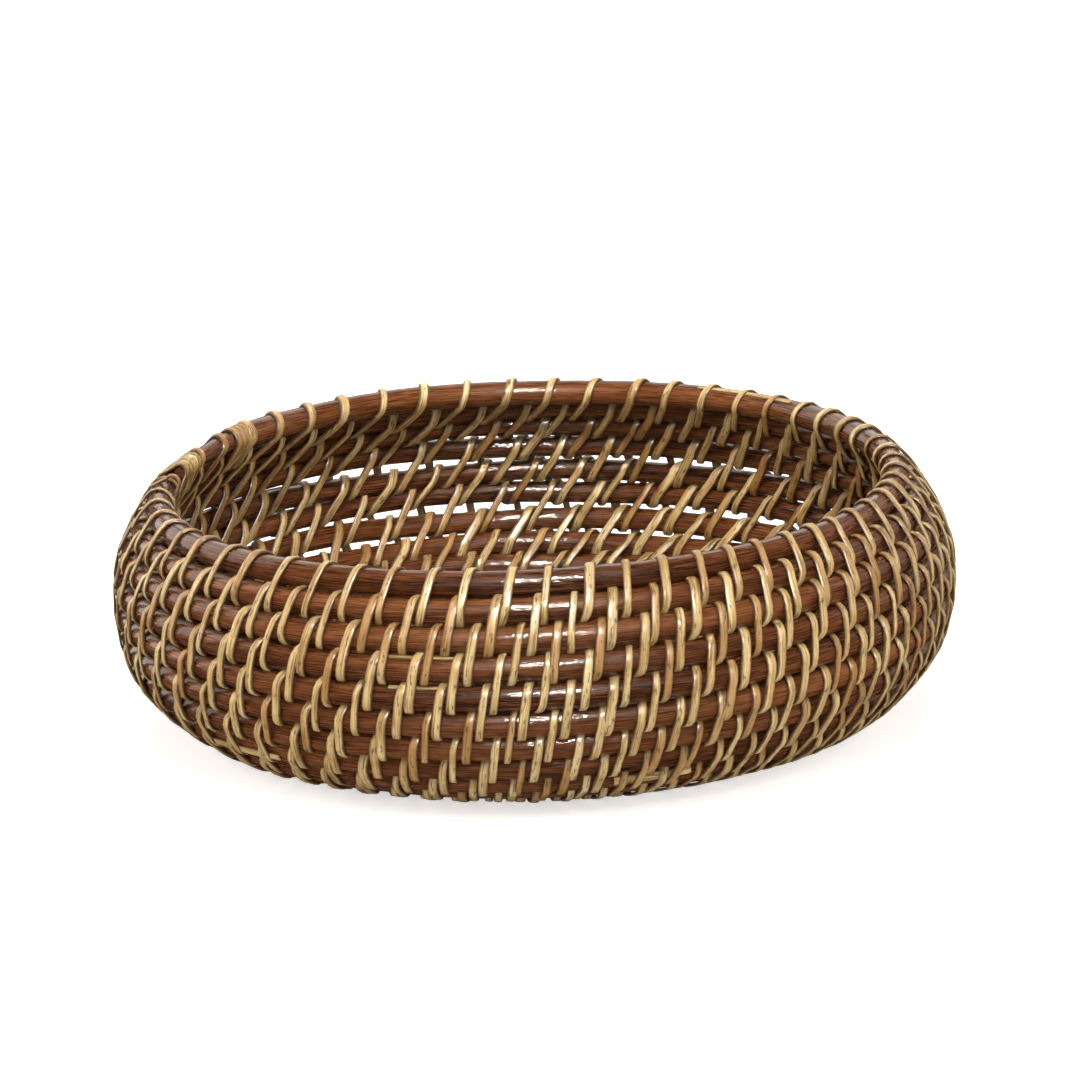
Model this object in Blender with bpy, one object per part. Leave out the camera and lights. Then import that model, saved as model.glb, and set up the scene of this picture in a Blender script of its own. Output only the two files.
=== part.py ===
"""Coiled rattan bowl: one long coil of stained cane rods, bound course to course with split-cane strips.

The rods are swept along a spiral that lies on a bowl of revolution: a flat base, a foot arc up to the
belly, and a shoulder arc that turns in to the rim. Each binding strip is wound as a helix round two
neighbouring turns of the coil, so it holds the new turn to the one below.
"""

import math

import bmesh
import bpy
from mathutils import Vector

# Driving dimensions, in metres unless the name says otherwise
BELLY_DIAMETER = 0.300
FOOT_ARC_RADIUS = 0.0412
SHOULDER_ARC_RADIUS = 0.0546
SHOULDER_TURN_DEG = 48.5
ROD_DIAMETER = 0.0075
COIL_GAP = 0.0021
STRIP_WIDTH = 0.0024
STRIP_THICKNESS = 0.0009
STRIP_CLEARANCE = 0.0006
JOINT_GAP = 0.0004
SCARF_LENGTH = 0.016
SPOKE_SPREAD = 0.0082
SPOKE_HOOK_OVER = -0.0005
SPOKE_HOOK_UNDER = -0.0015
SHORT_SPOKE_RADIUS = 0.034
CENTRE_RADIUS = 0.0085
TIP_DIAMETER = 0.0034
TIP_TAPER_LENGTH = 0.066
CENTRE_TAPER_LENGTH = 0.060
RIM_END_ANGLE_DEG = 170.0

# Counts
STITCHES_PER_TURN = 49.6
WALL_POINTS_PER_TURN = 24
BASE_POINTS_PER_TURN = 12
ROD_SIDES = 6
WALL_CANES = 5
BASE_CANES = 3
BASE_SPOKES = 8
CENTRE_BARE_TURNS = 1.4
SHARP_EDGE_DEG = 65.0

# How one stitch shares its advance: up the outside, over the top, down the inside, under
STITCH_SHARES = (0.22, 0.09, 0.60, 0.09)
SPOKE_SHARE = 0.365

# Worked out from the driving dimensions
ROD_RADIUS = ROD_DIAMETER / 2
STRIP_STAND = STRIP_CLEARANCE + STRIP_THICKNESS
PITCH = ROD_DIAMETER + COIL_GAP
SHOULDER_TURN = math.radians(SHOULDER_TURN_DEG)
BELLY_RADIUS = BELLY_DIAMETER / 2 - ROD_RADIUS - STRIP_STAND
BASE_HEIGHT = ROD_RADIUS + STRIP_STAND
BELLY_HEIGHT = BASE_HEIGHT + FOOT_ARC_RADIUS
FLAT_LENGTH = BELLY_RADIUS - FOOT_ARC_RADIUS
FOOT_LENGTH = FOOT_ARC_RADIUS * math.pi / 2
SHOULDER_LENGTH = SHOULDER_ARC_RADIUS * SHOULDER_TURN
MERIDIAN_LENGTH = FLAT_LENGTH + FOOT_LENGTH + SHOULDER_LENGTH
RIM_END_ANGLE = math.radians(RIM_END_ANGLE_DEG)
ALL_TURNS = (MERIDIAN_LENGTH - CENTRE_RADIUS) / PITCH
WALL_TURNS = math.floor((FOOT_LENGTH + SHOULDER_LENGTH) / PITCH)
FINE_TURNS = WALL_TURNS + 1

# Finishes: linear colour, roughness, metallic
STAINED_CANE = ("stained_cane", (0.105, 0.042, 0.022, 1.0), 0.42, 0.0)
SPLIT_CANE = ("split_cane", (0.520, 0.330, 0.135, 1.0), 0.48, 0.0)


def clear_scene():
    """Remove whatever the file opened with."""
    for old in list(bpy.data.objects):
        bpy.data.objects.remove(old, do_unlink=True)


def make_material(finish):
    """A Principled material from a finish: name, colour, roughness and metallic value."""
    name, colour, roughness, metallic = finish
    material = bpy.data.materials.new(name)
    material.use_nodes = True
    shader = material.node_tree.nodes["Principled BSDF"]
    shader.inputs["Base Color"].default_value = colour
    shader.inputs["Roughness"].default_value = roughness
    shader.inputs["Metallic"].default_value = metallic
    return material


def meridian(run):
    """Radius, height and the outward normal's slope of the rod line, at a run from the base's centre."""
    if run <= FLAT_LENGTH:
        return run, BASE_HEIGHT, -math.pi / 2
    if run <= FLAT_LENGTH + FOOT_LENGTH:
        slope = (run - FLAT_LENGTH) / FOOT_ARC_RADIUS - math.pi / 2
        radius = FLAT_LENGTH + FOOT_ARC_RADIUS * math.cos(slope)
        return radius, BELLY_HEIGHT + FOOT_ARC_RADIUS * math.sin(slope), slope
    slope = (run - FLAT_LENGTH - FOOT_LENGTH) / SHOULDER_ARC_RADIUS
    radius = BELLY_RADIUS - SHOULDER_ARC_RADIUS * (1 - math.cos(slope))
    return radius, BELLY_HEIGHT + SHOULDER_ARC_RADIUS * math.sin(slope), slope


def coil_angle(turn):
    """The angle round the bowl at a number of turns down from the rim's end."""
    return RIM_END_ANGLE - 2 * math.pi * turn


def taper(run, length):
    """The share of the rod's full thickness at a run from a shaved end."""
    tip = TIP_DIAMETER / ROD_DIAMETER
    return min(1.0, tip + (1 - tip) * run / length)


def tip_share(turn):
    """The share of its thickness that the rod keeps near the rim's end."""
    return taper(2 * math.pi * turn * meridian(MERIDIAN_LENGTH)[0], TIP_TAPER_LENGTH)


def rod_radius(turn):
    """The rod's radius, shaved thin at the rim's end and at the centre, where it starts."""
    centre_run = 2 * math.pi * (ALL_TURNS - turn) * (CENTRE_RADIUS + PITCH / 2)
    return ROD_RADIUS * min(tip_share(turn), taper(centre_run, CENTRE_TAPER_LENGTH))


def coil_frame(turn):
    """Directions at a point of the coil: up the bowl's wall, and out of its wall."""
    slope = meridian(MERIDIAN_LENGTH - PITCH * turn)[2]
    angle = coil_angle(turn)
    outward = Vector((math.cos(angle), math.sin(angle), 0.0))
    rise = Vector((0.0, 0.0, 1.0))
    upward = rise * math.cos(slope) - outward * math.sin(slope)
    normal = outward * math.cos(slope) + rise * math.sin(slope)
    return upward, normal


def smooth_rod(turn):
    """The rod's centre on the coil's smooth line; the shaved tip lies down on the turn below."""
    radius, height, _ = meridian(MERIDIAN_LENGTH - PITCH * turn)
    angle = coil_angle(turn)
    upward, _ = coil_frame(turn)
    centre = Vector((radius * math.cos(angle), radius * math.sin(angle), height))
    return centre - upward * (ROD_RADIUS * (1 - tip_share(turn)))


def points_per_turn(turn):
    """The turns that the wall's strips hold have more points than the rest of the base's."""
    return WALL_POINTS_PER_TURN if turn < FINE_TURNS else BASE_POINTS_PER_TURN


def rod_segment(turn):
    """The two ends of the straight run of rod that holds this place, and the place's share of it."""
    count = points_per_turn(turn)
    first = math.floor(turn * count)
    return smooth_rod(first / count), smooth_rod((first + 1) / count), turn * count - first


def faceted_rod(turn):
    """The rod's centre on its straight run, and the direction along it, up the coil."""
    start, end, share = rod_segment(turn)
    return start.lerp(end, share), (start - end).normalized()


def sweep(name, rings, material):
    """One closed solid from a row of rings with equal numbers of points, capped at both ends."""
    mesh = bmesh.new()
    loops = [[mesh.verts.new(point) for point in ring] for ring in rings]
    for near, far in zip(loops, loops[1:]):
        for side in range(len(near)):
            after = (side + 1) % len(near)
            mesh.faces.new((near[side], near[after], far[after], far[side]))
    mesh.faces.new(list(reversed(loops[0])))
    mesh.faces.new(loops[-1])
    bmesh.ops.recalc_face_normals(mesh, faces=mesh.faces)
    data = bpy.data.meshes.new(name)
    mesh.to_mesh(data)
    mesh.free()
    data.shade_smooth()
    data.set_sharp_from_angle(angle=math.radians(SHARP_EDGE_DEG))
    data.materials.append(material)
    piece = bpy.data.objects.new(name, data)
    bpy.context.scene.collection.objects.link(piece)
    return piece


def rod_ring(turn, centre, along, lean):
    """A ring of points round the rod; at a scarf it leans along the rod by the scarf's length."""
    _, normal = coil_frame(turn)
    normal = (normal - along * normal.dot(along)).normalized()
    across = along.cross(normal)
    ring = []
    for side in range(ROD_SIDES):
        turned = 2 * math.pi * side / ROD_SIDES
        out = math.cos(turned)
        offset = normal * out + across * math.sin(turned)
        ring.append(centre + offset * rod_radius(turn) + along * (lean * out * SCARF_LENGTH / 2))
    return ring


def station_ring(turn):
    """The ring at one of the coil's own points, square to the mean of the two runs that meet there."""
    half_run = 0.5 / WALL_POINTS_PER_TURN
    before = faceted_rod(turn - half_run)[1]
    after = faceted_rod(turn + half_run)[1]
    return rod_ring(turn, smooth_rod(turn), (before + after).normalized(), 0.0)


def coil_stations():
    """Every place of the coil, in turns from the rim's end, where its straight runs meet."""
    wall = [place / WALL_POINTS_PER_TURN for place in range(FINE_TURNS * WALL_POINTS_PER_TURN)]
    first = FINE_TURNS * BASE_POINTS_PER_TURN
    last = math.floor(ALL_TURNS * BASE_POINTS_PER_TURN)
    return wall + [place / BASE_POINTS_PER_TURN for place in range(first, last + 1)]


def joint_ring(turn, gap_side):
    """The slanted end of a cane at a scarf joint, half the joint's gap to one side of it."""
    centre, along = faceted_rod(turn)
    gap = JOINT_GAP * math.hypot(SCARF_LENGTH, ROD_DIAMETER) / ROD_DIAMETER
    return rod_ring(turn, centre + along * (gap_side * gap / 2), along, 1.0)


def make_cane(name, upper, lower, material):
    """One length of cane, scarfed to the next length at each end that isn't an end of the coil."""
    inner = [turn for turn in coil_stations() if upper < turn < lower]
    rings = [joint_ring(upper, -1) if upper > 0 else station_ring(0.0)]
    rings += [station_ring(turn) for turn in inner]
    if lower < ALL_TURNS:
        rings.append(joint_ring(lower, 1))
    return sweep(name, rings, material)


def strip_ring(turn, up, out):
    """The strip's section at one corner of a stitch: up or down the wall, outside or inside it."""
    upper, along = faceted_rod(turn)
    lower, _ = faceted_rod(turn + 1)
    chord = upper - lower
    chord = (chord - along * chord.dot(along)).normalized()
    normal = along.cross(chord)
    held = upper if up > 0 else lower
    held_radius = rod_radius(turn if up > 0 else turn + 1)
    corner = held + chord * (up * (held_radius + STRIP_CLEARANCE))
    corner += normal * (out * (ROD_RADIUS + STRIP_CLEARANCE))
    crown = corner + (chord * up + normal * out) * STRIP_THICKNESS
    crown.z = max(crown.z, 0.0)
    half = along * (STRIP_WIDTH / 2)
    return [corner - half, corner + half, crown]


def make_wall_binder(name, first, last, material):
    """One binding strip, wound from the last stitch of its course up to the first."""
    rings = []
    corners = ((-1, 1), (1, 1), (1, -1), (-1, -1))
    for stitch in range(last, first - 1, -1):
        turn = (stitch + 0.5) / STITCHES_PER_TURN
        for (up, out), share in zip(corners, STITCH_SHARES):
            rings.append(strip_ring(turn, up, out))
            turn -= share / STITCHES_PER_TURN
    return sweep(name, rings, material)


def spoke_ring(turn, aside, side, level, facing):
    """A spoke's section beside one turn of the base: its outer or inner side, over or under it."""
    radius = meridian(MERIDIAN_LENGTH - PITCH * turn)[0]
    turn -= aside / (2 * math.pi * radius)
    centre, along = faceted_rod(turn)
    upward, normal = coil_frame(turn)
    middle = centre + upward * (side * PITCH / 2)
    middle -= normal * (level * (ROD_RADIUS + STRIP_CLEARANCE + STRIP_THICKNESS / 2))
    half = along * (STRIP_WIDTH / 2)
    thick = (upward * facing[0] - normal * facing[1]) * (STRIP_THICKNESS / 2)
    ring = [middle - half - thick, middle + half - thick, middle + half + thick, middle - half + thick]
    for point in ring:
        point.z = max(point.z, 0.0)
    return ring


def spoke_pass(turn, count, outbound):
    """One pass of a spoke, woven over and under the base's turns, outward or back again."""
    rings = []
    sign = 1 if outbound else -1
    for index in range(count):
        level = sign if index % 2 == 0 else -sign
        hook = SPOKE_HOOK_OVER if outbound else SPOKE_HOOK_UNDER
        outer_aside = hook if index == 0 else sign * SPOKE_SPREAD / 2
        outer = (turn + index, outer_aside, 1, level, (sign * level, sign))
        inner = (turn + index, sign * SPOKE_SPREAD / 2, -1, level, (-sign * level, sign))
        rings += [outer, inner]
    if outbound:
        rings.reverse()
    return [spoke_ring(*place) for place in rings]


def make_spoke(name, turn, short, material):
    """A strip woven outward through the base's turns, hooked round the last, and woven back."""
    count = math.floor(ALL_TURNS - CENTRE_BARE_TURNS - turn)
    if short:
        inner_turn = (MERIDIAN_LENGTH - SHORT_SPOKE_RADIUS) / PITCH
        count = math.floor(inner_turn - turn)
    rings = spoke_pass(turn, count, True) + spoke_pass(turn, count, False)
    return sweep(name, rings, material)


def least_coil_gap():
    """The least gap between the coil's neighbouring turns, measured between the rods' points."""
    least = math.inf
    for turn in coil_stations():
        if turn + 1 <= ALL_TURNS:
            apart = (faceted_rod(turn)[0] - faceted_rod(turn + 1)[0]).length
            least = min(least, apart - rod_radius(turn) - rod_radius(turn + 1))
    return least


def joint_places(first, last, canes):
    """Where the canes between two places of the coil join: at the middle of a straight run."""
    places = []
    for index in range(1, canes + 1):
        turn = first + (last - first) * index / canes
        count = points_per_turn(turn)
        places.append((math.floor(turn * count) - 0.5) / count)
    return places


def build_canes(material):
    """The coil's lengths of cane, from the rim down to the centre of the base."""
    wall = [0.0] + joint_places(0.0, WALL_TURNS, WALL_CANES)
    base = [wall[-1]] + joint_places(WALL_TURNS, ALL_TURNS, BASE_CANES)[:-1] + [ALL_TURNS]
    for index, (upper, lower) in enumerate(zip(wall, wall[1:])):
        make_cane(f"wall_cane_{index + 1}", upper, lower, material)
    for index, (upper, lower) in enumerate(zip(base, base[1:])):
        make_cane(f"base_cane_{index + 1}", upper, lower, material)


def build_binders(material):
    """One strip for each course of the wall, and woven spokes that hold the base's turns together."""
    first = 0
    for course in range(WALL_TURNS):
        last = math.floor((course + 1) * STITCHES_PER_TURN) - 1
        make_wall_binder(f"wall_binder_{course + 1}", first, last, material)
        first = last + 1
    for spoke in range(BASE_SPOKES):
        stitch = first + round(spoke * STITCHES_PER_TURN / BASE_SPOKES)
        turn = (stitch + 0.5 - SPOKE_SHARE) / STITCHES_PER_TURN
        make_spoke(f"base_spoke_{spoke + 1}", turn, spoke % 2 == 1, material)


def main():
    clear_scene()
    build_canes(make_material(STAINED_CANE))
    build_binders(make_material(SPLIT_CANE))
    print(f"coil turns {ALL_TURNS:.2f}, least gap between turns {least_coil_gap() * 1000:.2f} mm")


main()
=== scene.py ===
"""Looks of a coiled rattan basket: stained canes laid in a spiral, bound together with split cane."""

import logging
import math
import random
from dataclasses import dataclass, field, replace
from enum import Enum

import bpy
from mathutils import Matrix, Vector


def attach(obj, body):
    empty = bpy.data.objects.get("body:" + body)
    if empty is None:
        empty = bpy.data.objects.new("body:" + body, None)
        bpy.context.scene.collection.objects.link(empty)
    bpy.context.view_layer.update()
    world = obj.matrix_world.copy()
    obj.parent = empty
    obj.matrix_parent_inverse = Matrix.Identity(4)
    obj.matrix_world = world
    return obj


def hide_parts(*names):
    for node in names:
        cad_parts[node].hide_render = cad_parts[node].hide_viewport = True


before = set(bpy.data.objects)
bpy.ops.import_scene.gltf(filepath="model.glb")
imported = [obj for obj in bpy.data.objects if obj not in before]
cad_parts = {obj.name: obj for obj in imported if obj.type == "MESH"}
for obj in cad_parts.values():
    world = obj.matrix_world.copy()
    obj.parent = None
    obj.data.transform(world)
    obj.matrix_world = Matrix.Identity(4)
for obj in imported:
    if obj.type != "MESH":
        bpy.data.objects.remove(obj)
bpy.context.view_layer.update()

LOG = logging.getLogger("basket")
ROOT = "root"
SEED = 41
BELLY_DIAMETER = 0.300
STRIP_HALF_WIDTH = 0.00175
FOOT_COURSES = 2
# The foot's strips lean the other way from the wall's
FOOT_LEAN = -0.3
RISE = Vector((0.0, 0.0, 1.0))
WHITE = (1.0, 1.0, 1.0, 1.0)
# Nearly all of a noise node's values lie in this span
NOISE_SPAN = (0.3, 0.7)
# Rounds that settle where a stitch is
SETTLING_ROUNDS = 8
# The sweep's noise gets one of this many starts, so that pieces differ
NOISE_STARTS = 97

Rgba = tuple[float, float, float, float]
Span = tuple[float, float]
Ramp = tuple[tuple[float, str], ...]
Socket = bpy.types.NodeSocket


class Slot(Enum):
    """The part's two swappable finishes."""

    STAINED = "stained_cane"
    SPLIT = "split_cane"


class Side(Enum):
    """Where on its loop round two canes a binding strip is."""

    OUTSIDE = 0
    TOP = 1
    INSIDE = 2
    UNDER = 3


def linear(hex_colour: str) -> Rgba:
    """Turn an sRGB hex colour into linear values.

    Args:
        hex_colour: six hex digits after a hash sign.

    Returns:
        Linear red, green and blue, and an alpha of 1.
    """
    values = [int(hex_colour[place : place + 2], 16) / 255 for place in (1, 3, 5)]
    red, green, blue = (v / 12.92 if v <= 0.04045 else ((v + 0.055) / 1.055) ** 2.4 for v in values)
    return red, green, blue, 1.0


def smooth_step(low: float, high: float, value: float) -> float:
    """Ease from 0 at the low value to 1 at the high one."""
    share = min(1.0, max(0.0, (value - low) / (high - low)))
    return share * share * (3 - 2 * share)


@dataclass(frozen=True)
class NodeGraph:
    """A node tree that is filled one node at a time."""

    tree: bpy.types.NodeTree

    def add(self, kind: str, wires: dict | None = None, **settings: object) -> bpy.types.Node:
        """Add one node.

        Args:
            kind: the node's type name.
            wires: input names or numbers, each with a value, the socket that feeds it, or a node
                whose first output feeds it.
            settings: the node's own properties.

        Returns:
            The new node.
        """
        node = self.tree.nodes.new(kind)
        for name, value in settings.items():
            setattr(node, name, value)
        for name, value in (wires or {}).items():
            source = value.outputs[0] if isinstance(value, bpy.types.Node) else value
            if isinstance(source, Socket):
                self.tree.links.new(source, node.inputs[name])
            else:
                node.inputs[name].default_value = source
        return node


@dataclass(frozen=True)
class Wave:
    """A slow swing along the coil."""

    height: float  # How far it swings
    per_turn: float  # Swings in one turn
    start: float  # Where it starts, in radians

    def at(self, turn: float) -> float:
        """Find the swing at a turn of the coil."""
        return self.height * math.sin(math.tau * self.per_turn * turn + self.start)


@dataclass(frozen=True)
class Coil:
    """The spiral that the canes lie on, counted in turns down from the end at the rim."""

    belly_diameter: float  # The basket's greatest width, over the strips
    foot_arc: float = 0.0412  # Radius of the arc from the base up to the belly
    shoulder_arc: float = 0.0546  # Radius of the arc from the belly in to the rim
    shoulder_turn: float = math.radians(48.5)  # How far the shoulder turns in, in radians
    rod: float = 0.00465  # Radius of a cane
    pitch: float = 0.0096  # Distance between neighbouring turns
    stand: float = 0.00065  # How far a strip's outer face stands off the cane
    centre_radius: float = 0.0085  # Where the coil starts in the base
    rim_end: float = math.radians(170.0)  # Angle of the coil's end at the rim, in radians
    tip: float = 0.40  # Share of its thickness that a shaved end keeps
    shave: float = 0.88  # Share of its thickness where the shaved end at the rim starts
    # Where the cane steps up to its full thickness, as shares of the shaved length
    shave_step: Span = (0.9, 1.05)
    tip_taper: float = 0.056  # Length of the shaved end at the rim
    centre_taper: float = 0.060  # Length of the shaved end in the base
    stitches: float = 56.6  # Stitches in one turn
    crowding: float = 0.17  # How much closer together the stitches are where they are closest
    crowded: float = math.radians(305.0)  # Angle where the stitches are closest, in radians
    thin_back: float = 0.15  # How much thinner the canes are at the back of the wall
    thin_from: Span = (0.6, 1.6)  # Turns between which the thinner part starts
    thin_to: Span = (5.0, 8.0)  # Turns between which it ends
    # Two waves whose product is the unevenness of a grown cane
    swell: tuple[Wave, Wave] = (Wave(0.03, 7.3 / math.tau, 1.1), Wave(1.0, 2.9 / math.tau, 0.0))
    wander: float = 0.0004  # How far a hand-laid cane strays from its place
    aside: Wave = Wave(0.4, 3.1, 0.7)  # How it strays up and down the wall, in shares of the wander
    # How it strays besides at the back, where the coil is loosest
    loose: tuple[Wave, Wave] = (Wave(2.1, 1 / 2.6, 1.0), Wave(1.5, 7.37, 0.4))
    loose_from: float = 0.35  # Angle where the loose part starts, in radians
    out: tuple[Wave, Wave] = (Wave(0.6, 2.3, 2.1), Wave(0.4, 6.1, 0.0))  # How it strays in and out

    @property
    def belly_radius(self) -> float:
        """Radius of the cane line at the belly."""
        return self.belly_diameter / 2 - self.rod - self.stand

    @property
    def flat_length(self) -> float:
        """Run of the cane line over the flat base."""
        return self.belly_radius - self.foot_arc

    @property
    def wall_length(self) -> float:
        """Run of the cane line up the foot and the shoulder."""
        return self.foot_arc * math.pi / 2 + self.shoulder_arc * self.shoulder_turn

    @property
    def turns(self) -> float:
        """Turns from the rim's end to the centre of the base."""
        return (self.flat_length + self.wall_length - self.centre_radius) / self.pitch

    @property
    def wall_turns(self) -> int:
        """Turns that the wall's binding strips hold."""
        return math.floor(self.wall_length / self.pitch)

    def angle(self, turn: float) -> float:
        """Find the angle round the basket at a turn of the coil."""
        return self.rim_end - math.tau * turn

    def meridian(self, turn: float) -> tuple[float, float, float]:
        """Follow the bowl's section.

        Args:
            turn: turns down from the rim's end.

        Returns:
            The cane line's radius and height, and the slope of the wall's outward normal.
        """
        run = self.flat_length + self.wall_length - self.pitch * turn
        base = self.rod + self.stand
        belly = base + self.foot_arc
        if run <= self.flat_length:
            return run, base, -math.pi / 2
        slope = (run - self.flat_length) / self.foot_arc - math.pi / 2
        if slope <= 0:
            radius = self.flat_length + self.foot_arc * math.cos(slope)
            return radius, belly + self.foot_arc * math.sin(slope), slope
        slope = (run - self.flat_length - self.foot_arc * math.pi / 2) / self.shoulder_arc
        radius = self.belly_radius - self.shoulder_arc * (1 - math.cos(slope))
        return radius, belly + self.shoulder_arc * math.sin(slope), slope

    def stitch_turn(self, stitch: float) -> float:
        """Find where a stitch is.

        Args:
            stitch: stitches down from the rim's end.

        Returns:
            Turns down from the rim's end, with the stitches closer together on one side of the basket.
        """
        even = stitch / self.stitches
        turn = even
        for _ in range(SETTLING_ROUNDS):
            turn = even - self.crowding / math.tau * math.sin(self.crowded - self.angle(turn))
        return turn

    def size(self, turn: float) -> float:
        """Find how thick the cane is.

        Args:
            turn: turns down from the rim's end.

        Returns:
            The share of its full thickness that the cane has, shaved at the coil's two ends.
        """
        inmost = math.tau * (self.centre_radius + self.pitch / 2)
        centre_run = (self.turns - turn) * inmost / self.centre_taper
        shaved = min(self.rim_share(turn), self.tip + (1 - self.tip) * centre_run)
        behind = max(0.0, math.sin(self.angle(turn)))
        middle = smooth_step(*self.thin_from, turn) * (1 - smooth_step(*self.thin_to, turn))
        grown = 1 + math.prod(wave.at(turn) for wave in self.swell)
        return shaved * (grown - self.thin_back * behind * middle)

    def rim_share(self, turn: float) -> float:
        """Find how much of its thickness the cane keeps near its end at the rim.

        Args:
            turn: turns down from the rim's end.

        Returns:
            The share, which steps down where the shaving starts and then tapers.
        """
        run = math.tau * turn * self.meridian(0.0)[0] / self.tip_taper
        step = (1 - self.shave) * smooth_step(*self.shave_step, run)
        return self.tip + (self.shave - self.tip) * min(1.0, max(0.0, run)) + step

    def place(self, turn: float) -> tuple[Vector, Vector, Vector]:
        """Find a point of the coil.

        Args:
            turn: turns down from the rim's end.

        Returns:
            The cane's centre, the direction up the wall and the direction out of the wall.
        """
        radius, height, slope = self.meridian(turn)
        angle = self.angle(turn)
        outward = Vector((math.cos(angle), math.sin(angle), 0.0))
        upward = RISE * math.cos(slope) - outward * math.sin(slope)
        normal = outward * math.cos(slope) + RISE * math.sin(slope)
        lie_down = self.rod * (1 - self.rim_share(turn))
        stray = self.wander * (1 - smooth_step(self.wall_turns - 1, self.wall_turns, turn))
        behind = max(0.0, math.sin(angle - self.loose_from))
        aside = self.aside.at(turn) + behind * sum(wave.at(turn) for wave in self.loose)
        out = sum(wave.at(turn) for wave in self.out)
        centre = outward * radius + RISE * height
        return centre + upward * (stray * aside - lie_down) + normal * (stray * out), upward, normal


@dataclass
class Guide:
    """A line that a cane or a strip follows."""

    # Each place with its facing, share of the full size, and shade from 0 for pale to 1 for dark
    places: list[tuple[Vector, Vector, float, float]] = field(default_factory=list)

    def add(self, point: Vector, facing: Vector, size: float, tone: float) -> None:
        """Add one place to the end of the line."""
        self.places.append((point, facing, size, tone))

    def make_object(self, name: str) -> bpy.types.Object:
        """Make an object of edges that holds the line and its values.

        Args:
            name: the object's name.

        Returns:
            The new object, in the scene.
        """
        points, facings, sizes, tones = zip(*self.places)
        mesh = bpy.data.meshes.new(name)
        mesh.from_pydata(points, [(place, place + 1) for place in range(len(points) - 1)], [])
        for label, values in (("size", sizes), ("tone", tones)):
            mesh.attributes.new(label, "FLOAT", "POINT").data.foreach_set("value", values)
        facing = mesh.attributes.new("facing", "FLOAT_VECTOR", "POINT")
        facing.data.foreach_set("vector", [part for vector in facings for part in vector])
        made = bpy.data.objects.new(name, mesh)
        bpy.context.scene.collection.objects.link(made)
        return made


@dataclass(frozen=True)
class Section:
    """The cross-section of a cane or a strip."""

    half_width: float  # Half its width across the line
    half_height: float  # Half its height along the facing
    flat: float  # How far below its middle the lower side is cut flat, as a share of the half height
    crown: float  # How far above its middle the upper side is cut flat, as a share of the half height
    sides: int  # Points round it
    lump_depth: float  # How uneven its surface is
    lump_size: float  # Length of the unevenness


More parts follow.
